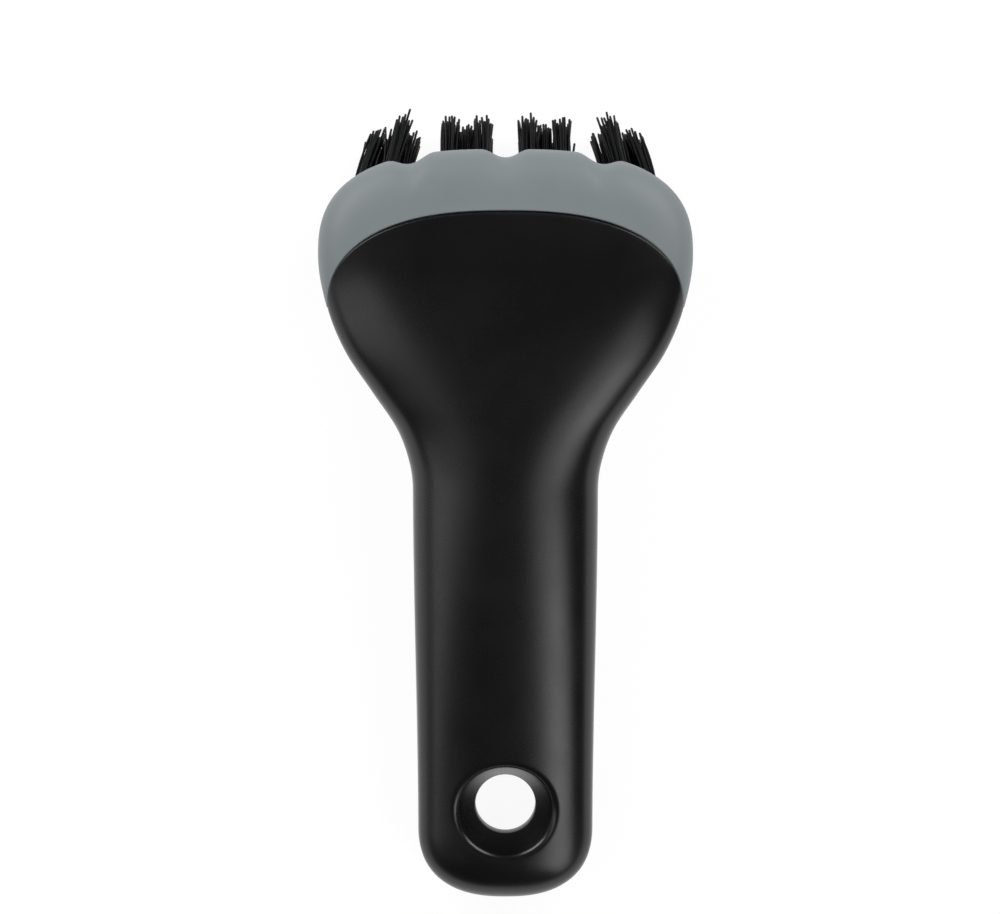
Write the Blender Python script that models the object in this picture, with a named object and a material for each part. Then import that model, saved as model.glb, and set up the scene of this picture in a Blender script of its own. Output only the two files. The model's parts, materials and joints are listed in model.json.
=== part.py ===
"""A grill brush that cleans ridged plates: a grip moulded over a stiff core, and a nylon head with 24 tufts.

Everything is modelled in the brush's own frame, with +Y from the handle's end to the head and +Z off its
back. An empty then tips it into the pose in which it lies on a table, on its rear bristles and its handle.
"""

import math
import random

import bmesh
import bpy
import numpy as np
from mathutils import Matrix, Vector

MM = 0.001

# Clearances
GAP = 0.3 * MM
PROUD_STEP = 0.15 * MM

# Handle
END_ROUNDING = 16.0 * MM
END_ROUNDING_SIDE = 10.0 * MM
END_HALF_WIDTH = 19.5 * MM
END_HALF_DEPTH = 8.4 * MM
NECK_Y = 92.0 * MM
NECK_HALF_WIDTH = 20.35 * MM
NECK_TOP = 11.0 * MM
NECK_BOTTOM = 10.9 * MM
GRIP_WALL = 2.0 * MM

# Hang hole
HOLE_Y = 21.4 * MM
WAIST_RADIUS = 6.7 * MM
LAND_HALF_HEIGHT = 1.5 * MM
RIM_HEIGHT = 8.5 * MM
RIM_RADIUS_X = 11.6 * MM
RIM_RADIUS_Y = 10.4 * MM

# Head, seen from above
FLARE_LENGTH = 51.5 * MM
HEAD_HALF_WIDTH = 40.8 * MM
FRONT_DEPTH = 22.95 * MM
FRONT_FULLNESS_X = 2.8
FRONT_FULLNESS_Y = 2.6
FLARE_SHAPE = ((0.0, 0.0), (0.12, 0.035), (0.27, 0.17), (0.43, 0.437), (0.6, 0.72), (0.78, 0.905), (1.0, 1.0))

# Head, seen from the side
BELL_TOP = 10.6 * MM
SHOULDER_TOP = 9.0 * MM
CREST_TOP = 5.9 * MM
BROW_TOP = 2.0 * MM
HEAD_BOTTOM = 12.2 * MM
LIP_Z = -3.3 * MM
HANDLE_FULLNESS = 2.4
HEAD_FULLNESS = 4.0

# Seam between grip and head
SEAM_SETBACK = 12.2 * MM
SEAM_TOP_REACH = 22.1 * MM
SEAM_BOTTOM_REACH = 8.2 * MM
SEAM_FULLNESS = 2.5

# Scalloped scraper lip, shaped to the ridges of a grill plate
NOTCH_PITCH = 20.6 * MM
NOTCH_DEPTH = 1.95 * MM
NOTCH_HALF_WIDTH = 5.3 * MM
FLUTE_DEPTH = 1.0 * MM
FLUTE_START = 0.3
LIP_LAND = 0.5 * MM  # the lip is this much thicker than half its round nose

# Joint between head and core
CORE_END_Y = 118.0 * MM
TONGUE_LENGTH = 25.0 * MM
TONGUE_HALF_WIDTH = 23.0 * MM
TONGUE_HALF_DEPTH = 4.4 * MM

# Tuft face and tufts
FACE_ANGLE = math.radians(23.2)
RIDGE_PITCH = 17.5 * MM
PAIR_HALF_SPACING = 3.65 * MM
ROW_PITCH = 2.3 * MM
FRONT_ROW_SETBACK = 5.2 * MM
OUTER_SHIFT = 2.1 * MM  # the roots of the outer clusters stand this much further out
OUTER_TURN = math.radians(27.0)
OUTER_TOE_IN = math.radians(5.5)
BRISTLE_LENGTH = 24.2 * MM
TUFT_ROOT_RADIUS = 1.45 * MM
TUFT_SPLAY = 1.35
STRAND_RADIUS = 0.25 * MM
LENGTH_SCATTER = 0.35 * MM
HOLE_DEPTH = 5.0 * MM
ANCHOR_LENGTH = 4.1 * MM
ANCHOR_THICKNESS = 0.4 * MM
ANCHOR_HEIGHT = 1.3 * MM

# How finely round shapes are cut
RIBS = 48
END_SHARES = (0.01, 0.05, 0.14, 0.3, 0.55, 1.0)
BELL_STEPS = 8
CORE_STEPS = 5
PLUG_STEPS = 4
HOLE_SIDES = 24
TUFT_SIDES = 10
TUFT_RINGS = ((1, 0.0), (5, 0.5), (9, 0.9))  # strands in each ring, and its share of the tuft's radius

# Places that follow from the sizes above
HEAD_Y = NECK_Y + FLARE_LENGTH
LIP_Y = HEAD_Y + FRONT_DEPTH
SEAM_Y = HEAD_Y - SEAM_SETBACK
CREST_Y = SEAM_Y + SEAM_TOP_REACH
BELL_Y = NECK_Y + 0.5 * FLARE_LENGTH
SHOULDER_Y = NECK_Y + 0.9 * FLARE_LENGTH
CORE_INSET = GRIP_WALL + GAP
TUFT_HOLE_RADIUS = TUFT_ROOT_RADIUS + GAP


def curve_through(points):
    """Returns a smooth curve through (place, value) points, level at its two ends."""
    places = [place for place, _ in points]
    values = [value for _, value in points]
    slopes = [0.0] * len(points)
    for i in range(1, len(points) - 1):
        slopes[i] = (values[i + 1] - values[i - 1]) / (places[i + 1] - places[i - 1])

    def value_at(place):
        place = min(max(place, places[0]), places[-1])
        i = max(k for k in range(len(places) - 1) if places[k] <= place)
        span = places[i + 1] - places[i]
        t = (place - places[i]) / span
        start = (2 * t**3 - 3 * t**2 + 1) * values[i] + (t**3 - 2 * t**2 + t) * span * slopes[i]
        end = (3 * t**2 - 2 * t**3) * values[i + 1] + (t**3 - t**2) * span * slopes[i + 1]
        return start + end

    return value_at


flare = curve_through(FLARE_SHAPE)
handle_width = curve_through(((END_ROUNDING, END_HALF_WIDTH), (NECK_Y, NECK_HALF_WIDTH)))
top_line = curve_through(
    (
        (END_ROUNDING_SIDE, END_HALF_DEPTH),
        (NECK_Y, NECK_TOP),
        (BELL_Y, BELL_TOP),
        (SHOULDER_Y, SHOULDER_TOP),
        (CREST_Y, CREST_TOP),
        (LIP_Y, BROW_TOP),
    )
)
bottom_line = curve_through(
    ((END_ROUNDING_SIDE, END_HALF_DEPTH), (NECK_Y, NECK_BOTTOM), (HEAD_Y, HEAD_BOTTOM))
)
mid_line = curve_through(((NECK_Y, 0.0), (SEAM_Y, 0.61 * LIP_Z), (LIP_Y, LIP_Z)))
fullness = curve_through(((NECK_Y, HANDLE_FULLNESS), (HEAD_Y, HEAD_FULLNESS)))


def fall_off(share, power, outer_power=None):
    """Height that is left, from 1 to 0, at a share of the way to a superellipse's end."""
    return max(0.0, 1.0 - abs(share) ** power) ** (1.0 / (outer_power or power))


def end_rounding(y, length, power, inset):
    return fall_off((length - y) / (length - inset), power) if y < length else 1.0


def half_width(y, inset=0.0):
    """Half the width of the outer skin at a distance from the handle's end."""
    if y >= HEAD_Y:
        width = HEAD_HALF_WIDTH * fall_off((y - HEAD_Y) / FRONT_DEPTH, FRONT_FULLNESS_Y, FRONT_FULLNESS_X)
    else:
        share = flare(max(0.0, (y - NECK_Y) / FLARE_LENGTH))
        width = handle_width(y) + (HEAD_HALF_WIDTH - NECK_HALF_WIDTH) * share
    return (width - inset) * end_rounding(y, END_ROUNDING, 2.4, inset)


def half_depth(y, side, inset=0.0):
    """Distance from the middle line to the back (side 1) or the underside (side -1)."""
    depth = top_line(y) - mid_line(y) if side > 0 else bottom_line(y) + mid_line(y)
    return (depth - inset) * end_rounding(y, END_ROUNDING_SIDE, 2.2, inset)


def skin_point(y, across, side, inset=0.0):
    """A point of the skin, or of the surface a wall's thickness inside it, at a share of the half width."""
    rise = side * half_depth(y, side, inset) * fall_off(across, fullness(y))
    return Vector((half_width(y, inset) * across, y, mid_line(y) + rise))


def rib_lines(count):
    """Lines along the skin: where each crosses the seam, its share of the half width, and its side."""
    ribs = []
    for i in range(count):
        angle = 2.0 * math.pi * i / count
        side = 1 if math.sin(angle) >= -1e-9 else -1
        reach = SEAM_TOP_REACH if side > 0 else SEAM_BOTTOM_REACH
        x = half_width(SEAM_Y) * math.copysign(abs(math.cos(angle)) ** (2.0 / SEAM_FULLNESS), math.cos(angle))
        y = SEAM_Y + reach * abs(math.sin(angle)) ** (2.0 / SEAM_FULLNESS)
        across = max(-1.0, min(1.0, x / half_width(y)))
        ribs.append((y, across, side))
    return ribs


def flat_ring(ribs, y, inset=0.0):
    """A ring of the skin at one distance from the handle's end."""
    return [skin_point(y, across, side, inset) for _, across, side in ribs]


def bell_ring(ribs, share, inset=0.0, shift=0.0):
    """A ring of the flared part, which leans from flat at the neck to the seam's own curve."""
    ring = []
    for seam_y, across, side in ribs:
        ring.append(skin_point(NECK_Y + (seam_y - NECK_Y) * share + shift, across, side, inset))
    return ring


def material(name, colour, roughness, metallic=0.0):
    shader = bpy.data.materials.new(name)
    shader.use_nodes = True
    principled = shader.node_tree.nodes["Principled BSDF"]
    principled.inputs["Base Color"].default_value = (*colour, 1.0)
    principled.inputs["Roughness"].default_value = roughness
    principled.inputs["Metallic"].default_value = metallic
    return shader


def add_object(name, bm, shader=None):
    """Turns a bmesh into a named object with smooth round sides and crisp corners."""
    bmesh.ops.remove_doubles(bm, verts=bm.verts, dist=0.002 * MM)
    bmesh.ops.recalc_face_normals(bm, faces=bm.faces)
    mesh = bpy.data.meshes.new(name)
    bm.to_mesh(mesh)
    bm.free()
    mesh.shade_smooth()
    mesh.set_sharp_from_angle(angle=math.radians(35.0))
    if shader:
        mesh.materials.append(shader)
    obj = bpy.data.objects.new(name, mesh)
    bpy.context.scene.collection.objects.link(obj)
    return obj


def add_rings(bm, rings):
    """Closes a tube of rings, which all have the same number of points, with a flat face at each end."""
    loops = [[bm.verts.new(point) for point in ring] for ring in rings]
    for near, far in zip(loops, loops[1:]):
        for i in range(len(near)):
            k = (i + 1) % len(near)
            bm.faces.new((near[i], near[k], far[k], far[i]))
    bm.faces.new(loops[0])
    bm.faces.new(loops[-1])


def ring_body(name, rings, shader=None):
    bm = bmesh.new()
    add_rings(bm, rings)
    return add_object(name, bm, shader)


def combine(obj, tool, operation):
    """Joins or cuts with a second object, which is used up."""
    modifier = obj.modifiers.new(operation.lower(), "BOOLEAN")
    modifier.operation = operation
    modifier.solver = "EXACT"
    modifier.object = tool
    bpy.context.view_layer.update()
    result = obj.evaluated_get(bpy.context.evaluated_depsgraph_get())
    mesh = bpy.data.meshes.new_from_object(result)
    mesh.name = obj.data.name
    obj.modifiers.clear()
    old_mesh = obj.data
    obj.data = mesh
    bpy.data.meshes.remove(old_mesh)
    bpy.data.objects.remove(tool)
    obj.data.shade_smooth()
    obj.data.set_sharp_from_angle(angle=math.radians(35.0))


def oval(z, radius_x, radius_y, sides=HOLE_SIDES):
    """A ring round the hang hole's axis, with the middle of a side towards the handle's end."""
    ring = []
    for i in range(sides):
        angle = 2.0 * math.pi * (i + 0.5) / sides
        ring.append(Vector((radius_x * math.cos(angle), HOLE_Y + radius_y * math.sin(angle), z)))
    return ring


def hole_radii(z):
    """The two half sizes of the hourglass-shaped hang hole at a height off the middle."""
    share = max(0.0, abs(z) - LAND_HALF_HEIGHT) / (RIM_HEIGHT - LAND_HALF_HEIGHT)
    return (
        WAIST_RADIUS + (RIM_RADIUS_X - WAIST_RADIUS) * share,
        WAIST_RADIUS + (RIM_RADIUS_Y - WAIST_RADIUS) * share,
    )


def hole_ring(z, wall=0.0):
    radius_x, radius_y = hole_radii(z)
    return oval(z, radius_x + wall, radius_y + wall)


def handle_rings(ribs, inset=0.0):
    """The rings of the handle's skin, from its closed end to the neck."""
    places = [inset + share * (END_ROUNDING - inset) for share in END_SHARES]
    return [flat_ring(ribs, y, inset) for y in (*places, (END_ROUNDING + NECK_Y) / 2, NECK_Y)]


def sleeve_rings(ribs, inset=0.0):
    """The rings of the whole sleeve, from the handle's end to the seam."""
    bell = [bell_ring(ribs, i / BELL_STEPS, inset) for i in range(1, BELL_STEPS + 1)]
    return handle_rings(ribs, inset) + bell


def make_grip(ribs, shader):
    """The soft sleeve over the core: open at the head, with funnels that line the hang hole."""
    grip = ring_body("grip", sleeve_rings(ribs) + sleeve_rings(ribs, GRIP_WALL)[::-1], shader)
    combine(grip, make_funnel_walls(), "UNION")
    reach = 1.5 * RIM_HEIGHT
    hole_rings = [hole_ring(z) for z in (-reach, -LAND_HALF_HEIGHT, LAND_HALF_HEIGHT, reach)]
    combine(grip, ring_body("hole_cutter", hole_rings), "DIFFERENCE")
    return grip


def make_funnel_walls():
    """Two solid cones between the core's ring and the sleeve, which the hang hole is then cut through."""
    bm = bmesh.new()
    for side in (-1, 1):
        base = hole_ring(side * (LAND_HALF_HEIGHT + GAP), GRIP_WALL)
        mouth = [funnel_mouth(i, side) for i in range(HOLE_SIDES)]
        hub = [in_skin(point, side) for point in oval(0.0, 1.0 * MM, 1.0 * MM)]
        add_rings(bm, [base, mouth, hub])
    return add_object("funnel_walls", bm)


def in_skin(point, side):
    """The point right above or below, halfway through the sleeve's wall."""
    return skin_point(point.y, point.x / half_width(point.y, GRIP_WALL / 2), side, GRIP_WALL / 2)


def funnel_mouth(i, side):
    """The place where a line of the funnel's outside meets the middle of the sleeve's wall."""
    z = RIM_HEIGHT
    for _ in range(30):
        z = abs(in_skin(hole_ring(z, GRIP_WALL)[i], side).z)
    return in_skin(hole_ring(z, GRIP_WALL)[i], side)


def tongue_ring(ribs, y, clearance=0.0):
    """A rounded rectangle where the core plugs into the head."""
    ring = []
    for _, across, side in ribs:
        depth = (TONGUE_HALF_DEPTH + clearance) * fall_off(across, 5.0)
        x = (TONGUE_HALF_WIDTH + clearance) * across
        ring.append(Vector((x, y, mid_line(CORE_END_Y) + side * depth)))
    return ring


def make_core(ribs, shader):
    """The stiff core inside the grip, from the hang ring to the tongue that holds the head."""
    rings = handle_rings(ribs, CORE_INSET)
    for i in range(1, CORE_STEPS + 1):
        rings.append(flat_ring(ribs, NECK_Y + (CORE_END_Y - NECK_Y) * i / CORE_STEPS, CORE_INSET))
    rings += [tongue_ring(ribs, CORE_END_Y), tongue_ring(ribs, CORE_END_Y + TONGUE_LENGTH)]
    core = ring_body("handle_core", rings, shader)
    reach = 1.5 * RIM_HEIGHT
    land = LAND_HALF_HEIGHT
    cutter = [
        hole_ring(-reach, CORE_INSET),
        hole_ring(-land, CORE_INSET),
        hole_ring(-land),
        hole_ring(land),
        hole_ring(land, CORE_INSET),
        hole_ring(reach, CORE_INSET),
    ]
    combine(core, ring_body("ring_cutter", cutter), "DIFFERENCE")
    return core


def scallop(x):
    """Depth of the notches, as a share, at a place across the lip."""
    nearest = min(abs(abs(x) - NOTCH_PITCH), abs(x))
    if nearest >= NOTCH_HALF_WIDTH:
        return 0.0
    return math.cos(0.5 * math.pi * nearest / NOTCH_HALF_WIDTH) ** 2


def outline_points(count):
    """Points round the head, evenly spaced from where the seam meets its right side to its left side."""
    flank = [(half_width(y), y) for y in np.linspace(SEAM_Y + GAP, HEAD_Y, 12)]
    front = []
    for angle in np.linspace(0.0, math.pi / 2, 90)[1:]:
        x = HEAD_HALF_WIDTH * math.cos(angle) ** (2.0 / FRONT_FULLNESS_X)
        front.append((x, HEAD_Y + FRONT_DEPTH * math.sin(angle) ** (2.0 / FRONT_FULLNESS_Y)))
    half = np.array(flank + front)
    whole = np.concatenate([half, half[-2::-1] * (-1.0, 1.0)])
    lengths = np.concatenate([[0.0], np.cumsum(np.linalg.norm(np.diff(whole, axis=0), axis=1))])
    places = np.linspace(0.0, lengths[-1], count)
    return list(zip(np.interp(places, lengths, whole[:, 0]), np.interp(places, lengths, whole[:, 1])))


def bezier(points, t):
    weights = ((1 - t) ** 3, 3 * (1 - t) ** 2 * t, 3 * (1 - t) * t**2, t**3)
    return sum((point * weight for point, weight in zip(points, weights)), Vector((0.0, 0.0, 0.0)))


def run_on(rib, seam_point, length):
    """The point that a rib would reach if it ran on past the seam in the same direction."""
    seam_y, across, side = rib
    step = skin_point(seam_y + GAP + 1.0 * MM, across, side) - skin_point(seam_y + GAP, across, side)
    return seam_point + step * (length / (1.0 * MM))


def with_middles(ring):
    """The same ring with a point added halfway along each side, so that it still matches its neighbour."""
    points = []
    for i, point in enumerate(ring):
        points += [point, (point + ring[(i + 1) % len(ring)]) / 2]
    return points


def plug_ring(ribs, share):
    """A ring of the plug, which leans from flat at the core's end to the seam's own curve."""
    start = CORE_END_Y + GAP
    places = [start + (y + GAP - start) * share for y, _, _ in ribs]
    return [skin_point(place, rib[1], rib[2], CORE_INSET) for place, rib in zip(places, ribs)]


def make_head(ribs, shader):
    """The nylon head: a plug that fills the bell, and a domed front that ends in the scalloped lip."""
    bm = bmesh.new()
    plug = [plug_ring(ribs, i / PLUG_STEPS) for i in range(PLUG_STEPS + 1)]
    seam = with_middles([skin_point(y + GAP, across, side, PROUD_STEP) for y, across, side in ribs])
    loops = [[bm.verts.new(point) for point in with_middles(ring)] for ring in plug]
    loops.append([bm.verts.new(point) for point in seam])
    for near, far in zip(loops, loops[1:]):
        for i in range(len(near)):
            k = (i + 1) % len(near)
            bm.faces.new((near[i], near[k], far[k], far[i]))
    bm.faces.new(loops[0])
    add_front(bm, seam)
    head = add_object("scraper_head", bm, shader)
    cut_face(head)
    ends = (CORE_END_Y - TONGUE_LENGTH, CORE_END_Y + TONGUE_LENGTH + GAP)
    socket = [tongue_ring(ribs, end, GAP) for end in ends]
    combine(head, ring_body("socket_cutter", socket), "DIFFERENCE")
    cut_tuft_holes(head)
    return head


def add_front(bm, seam):
    """The domed front, as strips that run from the seam on the back, over the lip, to the seam below."""
    columns = len(seam) // 2 + 1
    ribs = rib_lines(len(seam))
    outline = outline_points(columns)
    grid = []
    for m in range(columns):
        low = (len(seam) - m) % len(seam)
        x, y = outline[m]
        lip = Vector((x, y, mid_line(y)))
        if m in (0, columns - 1):
            lip = seam[m]
        strip = front_strip(seam[m], ribs[m], lip, seam[low], ribs[low])
        grid.append([bm.verts.new(point) for point in strip])
    for left, right in zip(grid, grid[1:]):
        for k in range(len(left) - 1):
            bm.faces.new((left[k], left[k + 1], right[k + 1], right[k]))


def front_strip(top, top_rib, lip, bottom, bottom_rib):
    """One strip's points, with the lip's notches and the flutes behind them pressed in."""
    top_span = (lip.xy - top.xy).length
    low_span = (lip.xy - bottom.xy).length
    rise = Vector((0.0, 0.0, 0.85 * (top.z - lip.z)))
    drop = Vector((0.0, 0.0, 0.9 * (lip.z - bottom.z)))
    over = (top, run_on(top_rib, top, 0.35 * top_span), lip + rise, lip)
    under = (lip, lip - drop, run_on(bottom_rib, bottom, 0.7 * low_span), bottom)
    points = []
    for t in (0.0, 0.17, 0.34, 0.5, 0.65, 0.8, 0.9, 1.0):
        press = scallop(lip.x) * max(0.0, (t - FLUTE_START) / (1.0 - FLUTE_START)) ** 1.5
        points.append(bezier(over, t) - Vector((0.0, NOTCH_DEPTH, FLUTE_DEPTH)) * press)
    for t in (0.12, 0.3, 0.5, 0.7, 0.85, 1.0):
        press = scallop(lip.x) * (1.0 - t) ** 2 * (1.0 + 2.0 * t)
        points.append(bezier(under, t) - Vector((0.0, NOTCH_DEPTH, 0.0)) * press)
    return points


def face_z(y):
    """Height of the tuft face, which rises forwards to the lip."""
    return LIP_Z - LIP_LAND + (y - LIP_Y) * math.tan(FACE_ANGLE)


def face_frame(place, lean=0.0, turn=0.0):
    """The frame of a tuft: X across, Y down the face, Z out along the bristles, which lean towards -X."""
    upright = Matrix.Translation(place) @ Matrix.Rotation(math.pi + FACE_ANGLE, 4, "X")
    return upright @ Matrix.Rotation(-lean, 4, "Y") @ Matrix.Rotation(turn, 4, "Z")


def box_at(name, frame, size, low_z):
    """A box in a tuft's frame, from a height along the bristles up."""
    bm = bmesh.new()
    bmesh.ops.create_cube(bm, size=1.0)
    bmesh.ops.scale(bm, vec=size, verts=bm.verts)
    bmesh.ops.translate(bm, vec=(0.0, 0.0, low_z + size[2] / 2), verts=bm.verts)
    bmesh.ops.transform(bm, matrix=frame, verts=bm.verts)
    return add_object(name, bm)


def cut_face(head):
    """Planes the head's underside off along the tuft face."""
    middle_y = LIP_Y - 0.5 * FRONT_DEPTH
    frame = face_frame(Vector((0.0, middle_y, face_z(middle_y))))
    size = (3.0 * HEAD_HALF_WIDTH, 4.0 * FRONT_DEPTH, 2.0 * FRONT_DEPTH)
    combine(head, box_at("face_cutter", frame, size, 0.0), "DIFFERENCE")


def tuft_frames():
    """Four clusters of two tufts, one, two and one; the outer clusters turn to follow the lip."""
    frames = []
    for cluster in (-1.5, -0.5, 0.5, 1.5):
        outwards = math.copysign(1.0, cluster)
        outer = (OUTER_SHIFT, OUTER_TURN, OUTER_TOE_IN)
        shift, turn, toe_in = outer if abs(cluster) > 1.0 else (0.0, 0.0, 0.0)
        for row, columns in enumerate(((-1, 1), (0,), (-1, 1), (0,))):
            for column in columns:
                out = PAIR_HALF_SPACING * column * math.cos(turn) - ROW_PITCH * row * math.sin(turn) + shift
                back = PAIR_HALF_SPACING * (column + 1) * math.sin(turn) + ROW_PITCH * row * math.cos(turn)
                y = LIP_Y - (FRONT_ROW_SETBACK + back) * math.cos(FACE_ANGLE)
                place = Vector((cluster * RIDGE_PITCH + outwards * out, y, face_z(y)))
                lean = toe_in * (1.0 + 0.2 * column)
                frames.append(face_frame(place, outwards * lean, outwards * turn))
    return frames


def cut_tuft_holes(head):
    """Blind holes for the tufts, and a slot at the bottom of each that the anchor bites into."""
    holes = bmesh.new()
    slots = bmesh.new()
    for frame in tuft_frames():
        length = 2.0 * HOLE_DEPTH
        made = bmesh.ops.create_cone(
            holes,
            cap_ends=True,
            segments=TUFT_SIDES,
            radius1=TUFT_HOLE_RADIUS,
            radius2=TUFT_HOLE_RADIUS,
            depth=length,
        )
        bmesh.ops.transform(holes, matrix=frame, verts=made["verts"])
        made = bmesh.ops.create_cube(slots, size=1.0)
        height = ANCHOR_HEIGHT + 2.0 * GAP
        size = (ANCHOR_LENGTH + 2.0 * GAP, ANCHOR_THICKNESS + 2.0 * GAP, height)
        bmesh.ops.scale(slots, vec=size, verts=made["verts"])
        bmesh.ops.translate(slots, vec=(0.0, 0.0, height / 2 - HOLE_DEPTH - 0.1 * MM), verts=made["verts"])
        bmesh.ops.transform(slots, matrix=frame, verts=made["verts"])
    combine(head, add_object("hole_cutter", holes), "DIFFERENCE")
    combine(head, add_object("slot_cutter", slots), "DIFFERENCE")


def strand_places():
    """Places of the strands, ring by ring, as shares of the tuft's radius."""
    places = []
    for count, share in TUFT_RINGS:
        for i in range(count):
            angle = 2.0 * math.pi * (i + 0.25) / count
            places.append((share * math.cos(angle), share * math.sin(angle)))
    return places


def add_strands(bm, frame, rng):
    """The strands of one tuft: three-sided, parted a little towards their tips."""
    reach = TUFT_ROOT_RADIUS - STRAND_RADIUS
    for share_x, share_y in strand_places():
        root = Vector((share_x * reach, share_y * reach, -2.0 * GAP))
        length = BRISTLE_LENGTH + rng.uniform(-LENGTH_SCATTER, LENGTH_SCATTER)
        tip = Vector((root.x * TUFT_SPLAY, root.y * TUFT_SPLAY, length))
        ends = []
        for centre in (root, tip):
            corners = []
            for i in range(3):
                angle = 2.0 * math.pi * i / 3 + 0.5
                offset = Vector((math.cos(angle), math.sin(angle), 0.0)) * STRAND_RADIUS
                corners.append(bm.verts.new(frame @ (centre + offset)))
            ends.append(corners)
        for i in range(3):
            k = (i + 1) % 3
            bm.faces.new((ends[0][i], ends[0][k], ends[1][k], ends[1][i]))
        bm.faces.new(ends[0])
        bm.faces.new(ends[1])


def make_tuft(name, frame, shader, rng):
    """Bristles fused to the folded root that sits in the blind hole, astride its anchor."""
    root_top = -GAP
    root_bottom = -(HOLE_DEPTH - GAP)
    bm = bmesh.new()
    bmesh.ops.create_cone(
        bm,
        cap_ends=True,
        segments=TUFT_SIDES,
        radius1=TUFT_ROOT_RADIUS,
        radius2=TUFT_ROOT_RADIUS,
        depth=root_top - root_bottom,
    )
    bmesh.ops.translate(bm, vec=(0.0, 0.0, (root_top + root_bottom) / 2), verts=bm.verts)
    bmesh.ops.transform(bm, matrix=frame, verts=bm.verts)
    tuft = add_object(name, bm, shader)
    strands = bmesh.new()
    add_strands(strands, frame, rng)
    combine(tuft, add_object("strands", strands), "UNION")
    groove = (3.0 * TUFT_ROOT_RADIUS, ANCHOR_THICKNESS + 2.0 * GAP, ANCHOR_HEIGHT + 2.0 * GAP)
    combine(tuft, box_at("groove_cutter", frame, groove, root_bottom - GAP), "DIFFERENCE")
    return tuft


def make_anchor(name, frame, shader):
    """The flat wire that the filaments are folded over."""
    size = (ANCHOR_LENGTH, ANCHOR_THICKNESS, ANCHOR_HEIGHT)
    anchor = box_at(name, frame, size, -(HOLE_DEPTH - GAP))
    anchor.data.materials.append(shader)
    return anchor


def lowest(points, tilt):
    return min(point.y * math.sin(tilt) + point.z * math.cos(tilt) for point in points)


def lay_down(handle_parts, tufts, parts):
    """Tips the brush until its bristles and its handle lie on one level, and centres it over the origin."""
    handle = [v.co for part in handle_parts for v in part.data.vertices if v.co.y < NECK_Y]
    tips = [v.co for part in tufts for v in part.data.vertices]
    low, high = 0.0, math.radians(30.0)
    for _ in range(50):
        tilt = (low + high) / 2
        if lowest(tips, tilt) < lowest(handle, tilt):
            low = tilt
        else:
            high = tilt
    turn = Matrix.Rotation(tilt, 4, "X")
    corners = [turn @ v.co for part in parts for v in part.data.vertices]
    ys = [corner.y for corner in corners]
    xs = [corner.x for corner in corners]
    floor = min(corner.z for corner in corners)
    brush = bpy.data.objects.new("brush_lying_down", None)
    bpy.context.scene.collection.objects.link(brush)
    brush.rotation_euler = (tilt, 0.0, 0.0)
    brush.location = (-(min(xs) + max(xs)) / 2, -(min(ys) + max(ys)) / 2, -floor)
    for part in parts:
        part.parent = brush
    print("tilt", round(math.degrees(tilt), 3), "degrees")
    print("frame at", [round(v / MM, 3) for v in brush.location], "mm")
    seat = Vector((0.0, HOLE_Y - WAIST_RADIUS * math.cos(math.pi / HOLE_SIDES), 0.0))
    for label, place in (("hang seat", seat), ("middle of the hole", Vector((0.0, HOLE_Y, 0.0)))):
        print(label, [round(v / MM, 3) for v in turn @ place + brush.location], "mm")


def main():
    for obj in list(bpy.data.objects):
        bpy.data.objects.remove(obj, do_unlink=True)
    rng = random.Random(7)
    soft_black = material("soft_black_elastomer", (0.012, 0.012, 0.013), 0.55)
    stiff_black = material("stiff_black_plastic", (0.010, 0.010, 0.011), 0.45)
    grey_nylon = material("grey_nylon", (0.227, 0.255, 0.263), 0.42)
    filament = material("black_nylon_filament", (0.014, 0.016, 0.019), 0.4)
    wire = material("anchor_wire", (0.60, 0.52, 0.36), 0.35, 1.0)
    ribs = rib_lines(RIBS)
    grip = make_grip(ribs, soft_black)
    core = make_core(ribs, stiff_black)
    head = make_head(ribs, grey_nylon)
    tufts = []
    anchors = []
    for number, frame in enumerate(tuft_frames(), start=1):
        tufts.append(make_tuft(f"tuft_{number:02d}", frame, filament, rng))
        anchors.append(make_anchor(f"tuft_anchor_{number:02d}", frame, wire))
    lay_down([grip], tufts, [grip, core, head, *tufts, *anchors])


main()
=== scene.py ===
# %% [markdown]
# # A grill brush, dressed
#
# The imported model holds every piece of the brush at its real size, with few faces. This script gives the
# pieces that show their real roundings, puts fine filaments in the tufts and a finish on every surface,
# and lights the brush as a small studio would. Nothing here moves or resizes a piece of that model.

import json
import math
import random

import bmesh
import bpy
from mathutils import Matrix, Vector


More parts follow.
